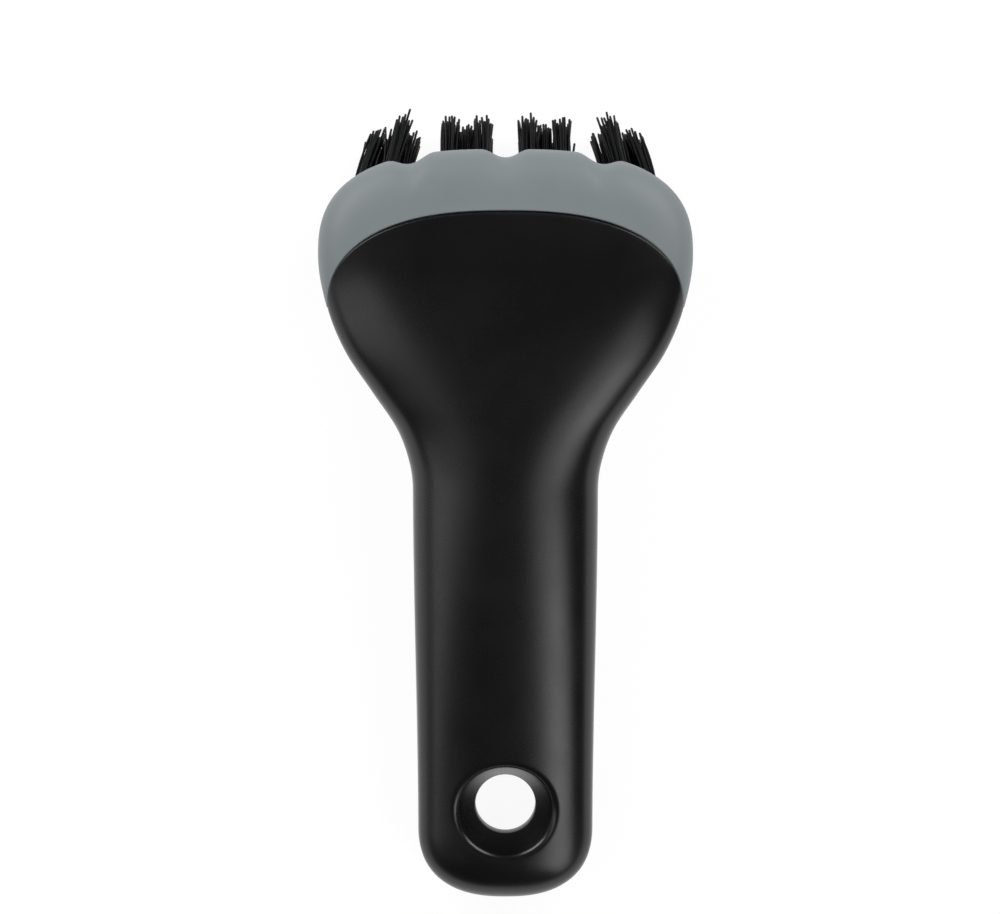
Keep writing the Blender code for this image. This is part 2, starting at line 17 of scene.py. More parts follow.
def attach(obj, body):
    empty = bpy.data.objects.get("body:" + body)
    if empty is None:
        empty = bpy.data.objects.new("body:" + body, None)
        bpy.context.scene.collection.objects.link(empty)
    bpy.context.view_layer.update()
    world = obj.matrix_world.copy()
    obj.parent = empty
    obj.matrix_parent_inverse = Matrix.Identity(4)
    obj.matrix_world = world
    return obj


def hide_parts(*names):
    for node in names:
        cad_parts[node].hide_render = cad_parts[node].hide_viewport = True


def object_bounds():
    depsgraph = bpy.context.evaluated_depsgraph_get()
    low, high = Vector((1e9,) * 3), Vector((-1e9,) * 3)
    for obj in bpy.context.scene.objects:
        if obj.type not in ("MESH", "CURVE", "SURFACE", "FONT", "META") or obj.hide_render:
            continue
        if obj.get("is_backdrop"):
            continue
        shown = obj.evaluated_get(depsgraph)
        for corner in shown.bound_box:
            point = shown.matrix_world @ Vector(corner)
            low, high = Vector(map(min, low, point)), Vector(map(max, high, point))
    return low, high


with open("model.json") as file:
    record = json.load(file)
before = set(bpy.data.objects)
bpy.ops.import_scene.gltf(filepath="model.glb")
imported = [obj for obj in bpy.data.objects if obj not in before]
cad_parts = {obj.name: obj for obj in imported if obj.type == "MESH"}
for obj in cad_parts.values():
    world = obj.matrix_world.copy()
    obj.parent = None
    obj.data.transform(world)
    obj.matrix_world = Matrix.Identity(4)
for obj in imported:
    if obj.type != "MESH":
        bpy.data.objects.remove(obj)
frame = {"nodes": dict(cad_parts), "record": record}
cad_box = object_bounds()
MM = 0.001
print("nodes in the frame:", len(frame["nodes"]))

# %% [markdown]
# ## The brush's own frame
#
# The brush lies tipped on a table, on its rear bristles and the end of its handle, so its surfaces are
# awkward to describe in the table's frame. We could rotate finished objects into place, but a finished
# piece has to sit unturned at the origin. So each shape is worked out in the brush's own frame, with +Y
# from the handle's end to the head and +Z off its back, and a matrix lays every vertex down. The record
# says where one facet of the hang hole lies and which way it faces, and that fixes the matrix.

# %% Find how the brush lies
HOLE_Y = 21.4 * MM
WAIST_RADIUS = 6.7 * MM
HOLE_SIDES = 24

seat = frame["record"]["mounts"][0]
tilt = math.atan2(seat["axis"][2], seat["axis"][1])
seat_in_brush = Vector((0.0, HOLE_Y - WAIST_RADIUS * math.cos(math.pi / HOLE_SIDES), 0.0))
turn = Matrix.Rotation(tilt, 4, "X")
lying = Matrix.Translation(Vector(seat["pos_m"]) - turn @ seat_in_brush) @ turn
print("tipped by", round(math.degrees(tilt), 2), "degrees")

# %% [markdown]
# ## The outer skin as a formula
#
# Grip and head share one flowing skin. Modellers often draw such a skin with a few profile curves: the half
# width seen from above, the back and the underside seen from the side, and how full the cross section is. A
# superellipse does the sections, because one number takes it from an ellipse towards a rounded rectangle.

# %% Profile curves
END_ROUNDING = 16.0 * MM
END_ROUNDING_SIDE = 10.0 * MM
END_FULLNESS = 2.4
END_FULLNESS_SIDE = 2.2
END_HALF_WIDTH = 19.5 * MM
END_HALF_DEPTH = 8.4 * MM
NECK_Y = 92.0 * MM
NECK_HALF_WIDTH = 20.35 * MM
FLARE_LENGTH = 51.5 * MM
HEAD_Y = NECK_Y + FLARE_LENGTH
HEAD_HALF_WIDTH = 40.8 * MM
FRONT_DEPTH = 22.95 * MM
FRONT_POWERS = (2.6, 2.8)
LIP_Y = HEAD_Y + FRONT_DEPTH
LIP_Z = -3.3 * MM
SEAM_SETBACK = 12.2 * MM
SEAM_Y = HEAD_Y - SEAM_SETBACK
SEAM_TOP_REACH = 22.1 * MM
CREST_Y = SEAM_Y + SEAM_TOP_REACH
MIDDLE_AT_SEAM = 0.61 * LIP_Z
NECK_FULLNESS = 2.4
HEAD_FULLNESS = 4.0
FLARE_SHAPE = ((0.0, 0.0), (0.12, 0.035), (0.27, 0.17), (0.43, 0.437), (0.6, 0.72), (0.78, 0.905), (1.0, 1.0))


def curve_through(points):
    """Returns a smooth curve through (place, value) points, level at its two ends."""
    places = [place for place, _ in points]
    values = [value for _, value in points]
    slopes = [0.0] * len(points)
    for i in range(1, len(points) - 1):
        slopes[i] = (values[i + 1] - values[i - 1]) / (places[i + 1] - places[i - 1])

    def value_at(place):
        place = min(max(place, places[0]), places[-1])
        i = max(k for k in range(len(places) - 1) if places[k] <= place)
        span = places[i + 1] - places[i]
        t = (place - places[i]) / span
        start = (2 * t**3 - 3 * t**2 + 1) * values[i] + (t**3 - 2 * t**2 + t) * span * slopes[i]
        end = (3 * t**2 - 2 * t**3) * values[i + 1] + (t**3 - t**2) * span * slopes[i + 1]
        return start + end

    return value_at


flare = curve_through(FLARE_SHAPE)
handle_width = curve_through(((END_ROUNDING, END_HALF_WIDTH), (NECK_Y, NECK_HALF_WIDTH)))
top_line = curve_through(
    (
        (END_ROUNDING_SIDE, END_HALF_DEPTH),
        (NECK_Y, 11.0 * MM),
        (NECK_Y + 0.5 * FLARE_LENGTH, 10.6 * MM),
        (NECK_Y + 0.9 * FLARE_LENGTH, 9.0 * MM),
        (CREST_Y, 5.9 * MM),
        (LIP_Y, 2.0 * MM),
    )
)
bottom_line = curve_through(((END_ROUNDING_SIDE, END_HALF_DEPTH), (NECK_Y, 10.9 * MM), (HEAD_Y, 12.2 * MM)))
mid_line = curve_through(((NECK_Y, 0.0), (SEAM_Y, MIDDLE_AT_SEAM), (LIP_Y, LIP_Z)))
fullness = curve_through(((NECK_Y, NECK_FULLNESS), (HEAD_Y, HEAD_FULLNESS)))
print("length of the brush from handle end to lip:", round(LIP_Y / MM, 2), "mm")

# %% Points of the skin
def fall_off(share, power, outer_power=None):
    """Height that is left, from 1 to 0, at a share of the way to a superellipse's end."""
    return max(0.0, 1.0 - abs(share) ** power) ** (1.0 / (outer_power or power))


def end_rounding(y, length, power, inset):
    return fall_off((length - y) / (length - inset), power) if y < length else 1.0


def half_width(y, inset=0.0):
    """Half the width of the skin at a distance from the handle's end."""
    if y >= HEAD_Y:
        width = HEAD_HALF_WIDTH * fall_off((y - HEAD_Y) / FRONT_DEPTH, *FRONT_POWERS)
    else:
        share = flare(max(0.0, (y - NECK_Y) / FLARE_LENGTH))
        width = handle_width(y) + (HEAD_HALF_WIDTH - NECK_HALF_WIDTH) * share
    return (width - inset) * end_rounding(y, END_ROUNDING, END_FULLNESS, inset)


def skin_point(y, across, side, inset=0.0):
    """A point of the skin, or of a surface inside it, at a share of the half width; side 1 is the back."""
    depth = top_line(y) - mid_line(y) if side > 0 else bottom_line(y) + mid_line(y)
    depth = (depth - inset) * end_rounding(y, END_ROUNDING_SIDE, END_FULLNESS_SIDE, inset)
    rise = side * depth * fall_off(across, fullness(y))
    return Vector((half_width(y, inset) * across, y, mid_line(y) + rise))


def skin_over(x, y, side, inset=0.0):
    """The point of the skin right above or below a place in the brush's middle plane."""
    return skin_point(y, x / half_width(y, inset), side, inset)


print("head is", round(2 * HEAD_HALF_WIDTH / MM, 1), "mm wide")

# %% Ribs that run from the neck to the seam
SEAM_BOTTOM_REACH = 8.2 * MM
SEAM_FULLNESS = 2.5
GRIP_RIBS = 192


def rib_lines(count):
    """Lines along the skin: where each crosses the seam, its share of the half width, and its side."""
    ribs = []
    for i in range(count):
        angle = 2.0 * math.pi * i / count
        side = 1 if math.sin(angle) >= -1e-9 else -1
        reach = SEAM_TOP_REACH if side > 0 else SEAM_BOTTOM_REACH
        x = half_width(SEAM_Y) * math.copysign(abs(math.cos(angle)) ** (2.0 / SEAM_FULLNESS), math.cos(angle))
        y = SEAM_Y + reach * abs(math.sin(angle)) ** (2.0 / SEAM_FULLNESS)
        ribs.append((y, max(-1.0, min(1.0, x / half_width(y))), side))
    return ribs


grip_ribs = rib_lines(GRIP_RIBS)
print("ribs round the grip:", len(grip_ribs))

# %% [markdown]
# ## From a flat grid to a skin
#
# A grid is the simplest mesh with clean rows of four-sided faces. Every large piece here starts as one, made
# by bmesh.ops.create_grid, and each of its vertices is then sent to the place that a formula gives for its
# column and row. Rows that end in one point close a pole, and columns that meet close a tube, once
# remove_doubles has merged them.

# %% Helpers for grids and finished pieces
MERGE_DISTANCE = 0.0005 * MM
SLIVER = 0.0001 * MM
CREASE_ANGLE = 35.0


def bend_grid(bm, columns, rows, place, skip=None):
    """Adds a grid, leaves out faces that skip(column, row) names, and sends each vertex to its place."""
    made = bmesh.ops.create_grid(bm, x_segments=columns, y_segments=rows, size=0.5)
    spots = {v: (round((v.co.x + 0.5) * columns), round((v.co.y + 0.5) * rows)) for v in made["verts"]}
    if skip:
        faces = {face for v in made["verts"] for face in v.link_faces}
        corners = {face: min(spots[v] for v in face.verts) for face in faces}
        left_out = [face for face, corner in corners.items() if skip(*corner)]
        bmesh.ops.delete(bm, geom=left_out, context="FACES")
    for v, (column, row) in spots.items():
        if v.is_valid:
            v.co = place(column, row)


def close_up(bm):
    """Merges the seams and poles of bent grids, and turns the faces outwards."""
    bmesh.ops.remove_doubles(bm, verts=bm.verts, dist=MERGE_DISTANCE)
    bmesh.ops.dissolve_degenerate(bm, edges=bm.edges, dist=SLIVER)
    bmesh.ops.recalc_face_normals(bm, faces=bm.faces)


def laid_object(name, bm, crease=CREASE_ANGLE):
    """Makes an object of a mesh in the brush's frame, laid down as the brush lies."""
    bmesh.ops.transform(bm, matrix=lying, verts=bm.verts)
    mesh = bpy.data.meshes.new(name)
    bm.to_mesh(mesh)
    bm.free()
    mesh.shade_smooth()
    mesh.set_sharp_from_angle(angle=math.radians(crease))
    piece = bpy.data.objects.new(name, mesh)
    bpy.context.scene.collection.objects.link(piece)
    return piece


def report_piece(piece):
    mesh = piece.data
    mesh.calc_loop_triangles()
    print(piece.name, "has", len(mesh.loop_triangles), "triangles")


print("grid helpers are ready")

# %% [markdown]
# ## The hang hole
#
# The hole is an hourglass: two funnels of the soft grip lead to a bare ring of the stiff core. Cutting it
# with a Boolean would leave ragged faces round a rim that ought to be softly rolled. Instead a block of faces
# is left out of the skin, and a patch runs from the block's edge over the rolled rim and down the funnel.

# %% Lines down the funnel
LAND_HALF_HEIGHT = 1.5 * MM
RIM_HEIGHT = 8.5 * MM
RIM_RADIUS_X = 11.6 * MM
RIM_RADIUS_Y = 10.4 * MM
BLOCK_RIBS = (24, 72)
BLOCK_START = 7.4 * MM
BLOCK_END = 35.4 * MM
BLOCK_ROWS = 28
SETTLING_ROUNDS = 30
SKIN_STEPS = 8
RIM_STEPS = 8
RIM_DROP = 0.8
FUNNEL_STEPS = 4


def hole_point(angle, height, side, wall=0.0):
    """A point of the hourglass, or of a wall round it, at an angle round its axis."""
    share = max(0.0, height - LAND_HALF_HEIGHT) / (RIM_HEIGHT - LAND_HALF_HEIGHT)
    radius_x = WAIST_RADIUS + (RIM_RADIUS_X - WAIST_RADIUS) * share + wall
    radius_y = WAIST_RADIUS + (RIM_RADIUS_Y - WAIST_RADIUS) * share + wall
    return Vector((radius_x * math.cos(angle), HOLE_Y + radius_y * math.sin(angle), side * height))


def mouth_height(angle, side, inset, wall):
    """The height at which a line of the funnel meets the skin."""
    height = RIM_HEIGHT
    for _ in range(SETTLING_ROUNDS):
        point = hole_point(angle, height, side, wall)
        height = abs(skin_over(point.x, point.y, side, inset).z)
    return height


def funnel_line(start, angle, side, inset, wall, roll, way):
    """From the block's edge over the skin, round the rolled rim, down the funnel and along the way's end."""
    height = mouth_height(angle, side, inset, wall)
    mouth = hole_point(angle, height, side, wall)
    outwards = Vector((math.cos(angle), math.sin(angle), 0.0))
    edge = mouth + outwards * roll
    edge = skin_over(edge.x, edge.y, side, inset)
    low = height - RIM_DROP * roll
    below = hole_point(angle, low, side, wall)
    line = []
    for i in range(SKIN_STEPS):
        spot = start.lerp(edge, i / SKIN_STEPS)
        line.append(skin_over(spot.x, spot.y, side, inset))
    for i in range(RIM_STEPS + 1):
        t = i / RIM_STEPS
        line.append(edge * (1 - t) ** 2 + mouth * 2 * t * (1 - t) + below * t**2)
    for i in range(1, FUNNEL_STEPS + 1):
        line.append(hole_point(angle, low + (way[0][0] - low) * i / FUNNEL_STEPS, side, way[0][1]))
    line += [hole_point(angle, level, side, extra) for level, extra in way[1:]]
    return line


def block_edge():
    """Rib and row of each vertex round the block of faces that is left out of the skin."""
    first, last = BLOCK_RIBS
    edge = [(rib, 0) for rib in range(first, last)]
    edge += [(last, row) for row in range(BLOCK_ROWS)]
    edge += [(rib, BLOCK_ROWS) for rib in range(last, first, -1)]
    edge += [(first, row) for row in range(BLOCK_ROWS, 0, -1)]
    return edge


def add_funnel(bm, side, inset, wall, roll, way):
    """Adds the patch that fills the block on one side and runs down the hole."""
    lines = []
    for rib, row in block_edge():
        y = BLOCK_START + (BLOCK_END - BLOCK_START) * row / BLOCK_ROWS
        outer = skin_point(y, grip_ribs[rib][1], 1)
        angle = math.atan2((outer.y - HOLE_Y) / RIM_RADIUS_Y, outer.x / RIM_RADIUS_X)
        start = skin_point(y, grip_ribs[rib * side][1], side, inset)
        lines.append(funnel_line(start, angle, side, inset, wall, roll, way))
    lines.append(lines[0])
    bend_grid(bm, len(lines) - 1, len(lines[0]) - 1, lambda i, j: lines[i][j])


print("vertices round the hang hole:", len(block_edge()))

# %% [markdown]
# ## The grip
#
# The real grip is a soft sleeve, moulded over the core, 2 mm thick. One long grid makes it: up the outside
# from the handle's end, round the rolled edge at the seam, and back down the inside. Its rows lie close
# together where the shape turns fast.

# %% Stations along the grip
GRIP_WALL = 2.0 * MM
GAP = 0.3 * MM
SEAM_ROLL = 0.55 * MM
SEAM_ROLL_STEPS = 8
END_CROWDING = 2.4


def end_places(count):
    """Places along the handle's end, crowded together where it rounds off."""
    return [BLOCK_START * (i / count) ** END_CROWDING for i in range(count)]


def even_places(start, end, count):
    return [start + (end - start) * i / count for i in range(count)]


def station_point(rib, station):
    """A station is (distance up to the neck or None, share of the bell, step back from it, inset)."""
    seam_y, across, side = rib
    y, share, back, inset = station
    if y is None:
        y = NECK_Y + (seam_y - NECK_Y) * share - back
    return skin_point(y, across, side, inset)


def sleeve_stations(inset, ends, handle, bell):
    """Stations of one side of the sleeve's wall, from the handle's end to the seam."""
    shrink = (END_ROUNDING - inset) / END_ROUNDING
    stations = [(inset + y * shrink, 0.0, 0.0, inset) for y in end_places(ends)]
    stations += [(y, 0.0, 0.0, inset) for y in even_places(BLOCK_START, BLOCK_END, BLOCK_ROWS)]
    stations += [(y, 0.0, 0.0, inset) for y in even_places(BLOCK_END, NECK_Y, handle)]
    return stations + [(None, i / bell, 0.0, inset) for i in range(bell)]


def seam_roll_stations():
    """The rounded edge of the sleeve, a quarter circle."""
    turns = [0.5 * math.pi * i / SEAM_ROLL_STEPS for i in range(SEAM_ROLL_STEPS + 1)]
    return [(None, 1.0, SEAM_ROLL * (1 - math.sin(a)), SEAM_ROLL * (1 - math.cos(a))) for a in turns]


print("rows of the grip's edge:", len(seam_roll_stations()))

# %% Build the grip
GRIP_END_ROWS = 16
GRIP_HANDLE_ROWS = 22
GRIP_BELL_ROWS = 36
INNER_END_ROWS = 8
INNER_HANDLE_ROWS = 5
INNER_BELL_ROWS = 12
RIM_ROLL = 1.3 * MM
HIDDEN_RIM_ROLL = 0.3 * MM


def make_grip():
    outer = sleeve_stations(0.0, GRIP_END_ROWS, GRIP_HANDLE_ROWS, GRIP_BELL_ROWS) + seam_roll_stations()
    inner = sleeve_stations(GRIP_WALL, INNER_END_ROWS, INNER_HANDLE_ROWS, INNER_BELL_ROWS)
    inner.append((None, 1.0, 0.0, GRIP_WALL))
    stations = outer + inner[::-1]
    block_rows = set(range(GRIP_END_ROWS, GRIP_END_ROWS + BLOCK_ROWS))
    last_row = len(stations) - 1
    block_rows |= {last_row - INNER_END_ROWS - i - 1 for i in range(BLOCK_ROWS)}
    first, last = BLOCK_RIBS

    def in_block(rib, row):
        return row in block_rows and (first <= rib < last or first <= GRIP_RIBS - 1 - rib < last)

    bm = bmesh.new()
    bend_grid(
        bm,
        GRIP_RIBS,
        last_row,
        lambda rib, row: station_point(grip_ribs[rib % GRIP_RIBS], stations[row]),
        in_block,
    )
    foot = (LAND_HALF_HEIGHT + GAP, 0.0)
    inner_foot = (LAND_HALF_HEIGHT + GAP, GRIP_WALL)
    for side in (1, -1):
        add_funnel(bm, side, 0.0, 0.0, RIM_ROLL, [foot, inner_foot])
        add_funnel(bm, side, GRIP_WALL, GRIP_WALL, HIDDEN_RIM_ROLL, [inner_foot])
    close_up(bm)
    return laid_object("soft_grip", bm)


grip = make_grip()
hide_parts("grip")
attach(grip, "root")
report_piece(grip)

# %% [markdown]
# ## The core
#
# The core is the stiff skeleton under the grip. Only its ring shows, at the waist of the hang hole, but the
# whole core is made, so that it is there when the grip is hidden. It is a smaller copy of the sleeve's inside
# with a flat tongue that plugs into the head.

# %% Build the core
CORE_INSET = GRIP_WALL + GAP
CORE_END_Y = 118.0 * MM
CORE_HANDLE_ROWS = 8
CORE_SHOULDER_ROWS = 6
TONGUE_LENGTH = 25.0 * MM
TONGUE_HALF_WIDTH = 23.0 * MM
TONGUE_HALF_DEPTH = 4.4 * MM
TONGUE_FULLNESS = 5.0
LAND_EDGE = 0.25 * MM
LAND_EDGE_MIDDLE = 0.3 * LAND_EDGE


def tongue_point(rib, y, clearance=0.0):
    """A point of the rounded rectangle where the core plugs into the head."""
    _, across, side = rib
    depth = (TONGUE_HALF_DEPTH + clearance) * fall_off(across, TONGUE_FULLNESS)
    return Vector(((TONGUE_HALF_WIDTH + clearance) * across, y, mid_line(CORE_END_Y) + side * depth))


def make_core():
    stations = sleeve_stations(CORE_INSET, INNER_END_ROWS, CORE_HANDLE_ROWS, 0)
    stations += [(y, 0.0, 0.0, CORE_INSET) for y in even_places(NECK_Y, CORE_END_Y, CORE_SHOULDER_ROWS)]
    stations.append((CORE_END_Y, 0.0, 0.0, CORE_INSET))
    tongue_end = CORE_END_Y + TONGUE_LENGTH
    first, last = BLOCK_RIBS

    def place(rib, row):
        rib = grip_ribs[rib % GRIP_RIBS]
        if row < len(stations):
            return station_point(rib, stations[row])
        extra = row - len(stations)
        if extra == 2:
            return Vector((0.0, tongue_end, mid_line(CORE_END_Y)))
        return tongue_point(rib, (CORE_END_Y, tongue_end)[extra])

    def in_block(rib, row):
        in_rows = INNER_END_ROWS <= row < INNER_END_ROWS + BLOCK_ROWS
        return in_rows and (first <= rib < last or first <= GRIP_RIBS - 1 - rib < last)

    bm = bmesh.new()
    bend_grid(bm, GRIP_RIBS, len(stations) + 2, place, in_block)
    land = LAND_HALF_HEIGHT
    way = [(land, CORE_INSET), (land, LAND_EDGE), (land - LAND_EDGE_MIDDLE, LAND_EDGE_MIDDLE)]
    way += [(land - LAND_EDGE, 0.0), (0.0, 0.0)]
    for side in (1, -1):
        add_funnel(bm, side, CORE_INSET, CORE_INSET, HIDDEN_RIM_ROLL, way)
    close_up(bm)
    return laid_object("stiff_core", bm)


core = make_core()
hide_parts("handle_core")
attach(core, "root")
report_piece(core)

# %% [markdown]
# ## The scraper head
#
# The grey head fills the bell of the grip with a plug and ends in a domed front with a scalloped lip. Its
# front is a grid of strips: each runs from the seam on the back over the lip to the seam underneath, along
# two Bezier curves. The notches press the strips in at the lip and fade out behind it as shallow flutes.

# %% Shape of the lip
NOTCH_PITCH = 20.6 * MM
NOTCH_DEPTH = 1.95 * MM
NOTCH_HALF_WIDTH = 5.3 * MM
FLUTE_DEPTH = 1.8 * MM
FLUTE_START = 0.3
FLUTE_NARROWNESS = 3
FLUTE_FADE = 1.5
FACE_ANGLE = math.radians(23.2)
LIP_LAND = 0.5 * MM
LIP_ROUND = 0.35 * MM


def scallop(x):
    """Depth of the notches, as a share, at a place across the lip."""
    nearest = min(abs(abs(x) - NOTCH_PITCH), abs(x))
    return math.cos(0.5 * math.pi * nearest / NOTCH_HALF_WIDTH) ** 2 if nearest < NOTCH_HALF_WIDTH else 0.0


def face_z(y):
    """Height of the flat face that carries the tufts."""
    return LIP_Z - LIP_LAND + (y - LIP_Y) * math.tan(FACE_ANGLE)


def kept_above(z, floor, rounding):
    """The higher of two heights, blended into a rounded corner where they cross."""
    blend = max(0.0, rounding - abs(z - floor))
    return max(z, floor) + blend**2 / (4.0 * rounding)


def bezier(points, t):
    weights = ((1 - t) ** 3, 3 * (1 - t) ** 2 * t, 3 * (1 - t) * t**2, t**3)
    return sum((point * weight for point, weight in zip(points, weights)), Vector((0.0, 0.0, 0.0)))


print("notches", round(NOTCH_PITCH / MM, 1), "mm apart")

# %% Strips of the front
PROUD_STEP = 0.15 * MM
EDGE_ROLL = 0.3 * MM
HEAD_RIBS = 320
SIDE_SAMPLES = 40
FRONT_SAMPLES = 200
ABOVE_SEAM_PULL = 0.35
BELOW_SEAM_PULL = 0.7
LIP_RISE = 0.85
LIP_DROP = 0.9
head_ribs = rib_lines(HEAD_RIBS)


def outline_points(count):
    """Points round the head, evenly spaced from where the seam meets one side to the other side."""
    half = [Vector((half_width(y), y)) for y in even_places(SEAM_Y + GAP, HEAD_Y, SIDE_SAMPLES)]
    lengthwise, sideways = FRONT_POWERS
    for i in range(FRONT_SAMPLES + 1):
        angle = 0.5 * math.pi * i / FRONT_SAMPLES
        x = HEAD_HALF_WIDTH * math.cos(angle) ** (2.0 / sideways)
        half.append(Vector((x, HEAD_Y + FRONT_DEPTH * math.sin(angle) ** (2.0 / lengthwise))))
    whole = half + [Vector((-point.x, point.y)) for point in half[-2::-1]]
    lengths = [0.0]
    for near, far in zip(whole, whole[1:]):
        lengths.append(lengths[-1] + (far - near).length)
    points = []
    i = 0
    for k in range(count):
        place = lengths[-1] * k / (count - 1)
        while i < len(whole) - 2 and lengths[i + 1] < place:
            i += 1
        points.append(whole[i].lerp(whole[i + 1], (place - lengths[i]) / (lengths[i + 1] - lengths[i])))
    return points


def seam_point(rib, inset):
    seam_y, across, side = rib
    return skin_point(seam_y + GAP, across, side, inset)


def run_on(rib, length):
    """The point that a rib would reach if it ran on past the seam in the same direction."""
    seam_y, across, side = rib
    step = skin_point(seam_y + GAP + 1.0 * MM, across, side) - skin_point(seam_y + GAP, across, side)
    return seam_point(rib, PROUD_STEP) + step * (length / (1.0 * MM))


def rolled(point, rib, seam):
    """Draws a point in where it is close to the seam, so that the head's edge there is rounded."""
    near = 1.0 - min(1.0, (point - seam).length / EDGE_ROLL)
    inwards = seam_point(rib, PROUD_STEP + EDGE_ROLL) - seam
    return point + inwards * (1.0 - math.sqrt(1.0 - near**2))


# Shares of the way along each curve, close together at the seam and just below the lip, where it turns fast.
OVER_STEPS = [0.0, 0.004, 0.008, 0.013, 0.018, 0.024] + [0.032 + 0.968 * i / 46 for i in range(47)]
NOSE_STEPS = [0.0045 * i for i in range(1, 11)]
UNDER_STEPS = [0.045 + 0.93 * i / 64 for i in range(1, 65)] + [0.982, 0.987, 0.992, 0.996, 1.0]


def front_strip(top_rib, lip, bottom_rib):
    """One strip's points from the seam on the back over the lip to the seam underneath."""
    top = seam_point(top_rib, PROUD_STEP)
    bottom = seam_point(bottom_rib, PROUD_STEP)
    rise = Vector((0.0, 0.0, LIP_RISE * (top.z - lip.z)))
    drop = Vector((0.0, 0.0, LIP_DROP * (lip.z - bottom.z)))
    over = (top, run_on(top_rib, ABOVE_SEAM_PULL * (lip.xy - top.xy).length), lip + rise, lip)
    under = (lip, lip - drop, run_on(bottom_rib, BELOW_SEAM_PULL * (lip.xy - bottom.xy).length), bottom)
    notch = scallop(lip.x)
    crease = FLUTE_DEPTH * notch**FLUTE_NARROWNESS
    points = []
    for t in OVER_STEPS:
        press = max(0.0, (t - FLUTE_START) / (1.0 - FLUTE_START)) ** FLUTE_FADE
        point = bezier(over, t) - Vector((0.0, NOTCH_DEPTH * notch, crease)) * press
        points.append(rolled(point, top_rib, top))
    for t in NOSE_STEPS + UNDER_STEPS:
        back = NOTCH_DEPTH * notch * (1.0 - t) ** 2 * (1.0 + 2.0 * t)
        point = bezier(under, t) - Vector((0.0, back, crease * (1.0 - t) ** 4))
        point.z = kept_above(point.z, face_z(point.y), LIP_ROUND)
        points.append(rolled(point, bottom_rib, bottom))
    return points


print("points in each strip:", len(OVER_STEPS) + len(NOSE_STEPS) + len(UNDER_STEPS))

# %% Build the head
PLUG_ROWS = 6


def plug_point(rib, row):
    """Rows of the socket for the core's tongue, then of the plug that fills the bell, up to the seam."""
    plug_y = CORE_END_Y + GAP
    socket_y = CORE_END_Y + TONGUE_LENGTH + GAP
    if row == 0:
        return Vector((0.0, socket_y, mid_line(CORE_END_Y)))
    if row <= 2:
        return tongue_point(rib, (socket_y, plug_y)[row - 1], GAP)
    if row <= 3 + PLUG_ROWS:
        seam_y, across, side = rib
        return skin_point(plug_y + (seam_y + GAP - plug_y) * (row - 3) / PLUG_ROWS, across, side, CORE_INSET)
    return seam_point(rib, PROUD_STEP + EDGE_ROLL)


def make_head():
    columns = HEAD_RIBS // 2
    outline = outline_points(columns + 1)
    strips = []
    for m in range(columns + 1):
        lip = Vector((outline[m].x, outline[m].y, mid_line(outline[m].y)))
        strips.append(front_strip(head_ribs[m], lip, head_ribs[-m]))
    for m in (0, columns):
        strips[m] = [seam_point(head_ribs[m], PROUD_STEP + EDGE_ROLL)] * len(strips[m])
    bm = bmesh.new()
    bend_grid(bm, HEAD_RIBS, PLUG_ROWS + 4, lambda rib, row: plug_point(head_ribs[rib % HEAD_RIBS], row))
    bend_grid(bm, columns, len(strips[0]) - 1, lambda m, row: strips[m][row])
    close_up(bm)
    return laid_object("scalloped_head", bm)


head = make_head()
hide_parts("scraper_head")
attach(head, "root")
report_piece(head)

# %% [markdown]
# ## Holes for the tufts
#
# The face under the lip has 24 blind holes, in four clusters that reach between the ridges of a grill plate.
# They are flat-bottomed and a little chamfered. A profile spun round its axis makes one cutter, copies of it
# go to each hole, and a Boolean cuts them all. That is safe here, because the face they cut is flat.

# %% Where the tufts stand
RIDGE_PITCH = 17.5 * MM
PAIR_HALF_SPACING = 3.65 * MM
ROW_PITCH = 2.3 * MM
FRONT_ROW_SETBACK = 5.2 * MM
OUTER_SHIFT = 2.1 * MM
OUTER_TURN = math.radians(27.0)
OUTER_TOE_IN = math.radians(5.5)
TOE_IN_SPREAD = 0.2
BRISTLE_LENGTH = 24.2 * MM
TUFT_HOLE_RADIUS = 1.75 * MM
TUFT_HOLE_DEPTH = 5.0 * MM


def face_frame(place, lean, turn):
    """The frame of a tuft: X across, Y down the face, Z out along the bristles, which lean towards -X."""
    upright = Matrix.Translation(place) @ Matrix.Rotation(math.pi + FACE_ANGLE, 4, "X")
    return upright @ Matrix.Rotation(-lean, 4, "Y") @ Matrix.Rotation(turn, 4, "Z")


def tuft_frames():
    """Four clusters of two tufts, one, two and one. The outer two follow the lip round and lean inwards."""
    frames = []
    outer = (OUTER_SHIFT, OUTER_TURN, OUTER_TOE_IN)
    for cluster in (-1.5, -0.5, 0.5, 1.5):
        outwards = math.copysign(1.0, cluster)
        shift, turn, toe_in = outer if abs(cluster) > 1.0 else (0.0, 0.0, 0.0)
        for row, columns in enumerate(((-1, 1), (0,), (-1, 1), (0,))):
            for column in columns:
                out = PAIR_HALF_SPACING * column * math.cos(turn) - ROW_PITCH * row * math.sin(turn) + shift
                back = PAIR_HALF_SPACING * (column + 1) * math.sin(turn) + ROW_PITCH * row * math.cos(turn)
                y = LIP_Y - (FRONT_ROW_SETBACK + back) * math.cos(FACE_ANGLE)
                place = Vector((cluster * RIDGE_PITCH + outwards * out, y, face_z(y)))
                lean = toe_in * (1.0 + TOE_IN_SPREAD * column)
                frames.append(face_frame(place, outwards * lean, outwards * turn))
    return frames


print("tufts:", len(tuft_frames()))

# %% Cut the holes
CHAMFER = 0.15 * MM
CUTTER_REACH = 1.5 * MM
CUTTER_SIDES = 32


